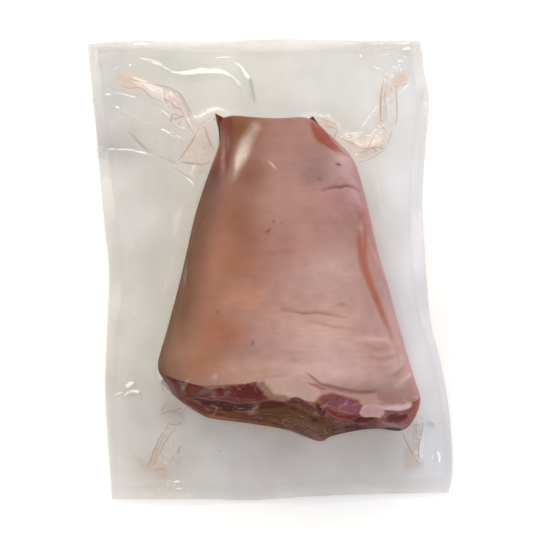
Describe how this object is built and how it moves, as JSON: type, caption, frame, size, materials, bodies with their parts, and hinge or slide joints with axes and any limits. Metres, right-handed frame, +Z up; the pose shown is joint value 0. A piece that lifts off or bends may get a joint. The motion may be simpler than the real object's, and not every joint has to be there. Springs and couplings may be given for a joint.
{
  "type": "vacuum-packed smoked pork knuckle",
  "caption": "Smoked pork knuckle with its rind, sawn across at the wide end, sealed under vacuum in a clear pouch that clings to it and lies out round it as a flat, creased border.",
  "frame": {"origin": "centre of the bounding box's underside, on the surface the pack lies on", "axes": "X across the knuckle, +Y from its wide sawn end to its narrow shank end, +Z up out of the shown side"},
  "size_m": [0.2346, 0.2996, 0.0767],
  "materials": {
    "smoked_rind": "smooth smoked pork rind, moist under its film, pinkish brown and browner at its left side",
    "cut_meat": "sawn face with dark red muscle, grey-brown fibres and creamy fat, wet",
    "clear_film": "clear, glossy pouch film, faintly milky where two layers lie together",
    "meat_juice": "clear red-brown juice, glossy under the film"
  },
  "bodies": {
    "root": {"packed_knuckle": "smoked_rind"}
  },
  "joints": []
}
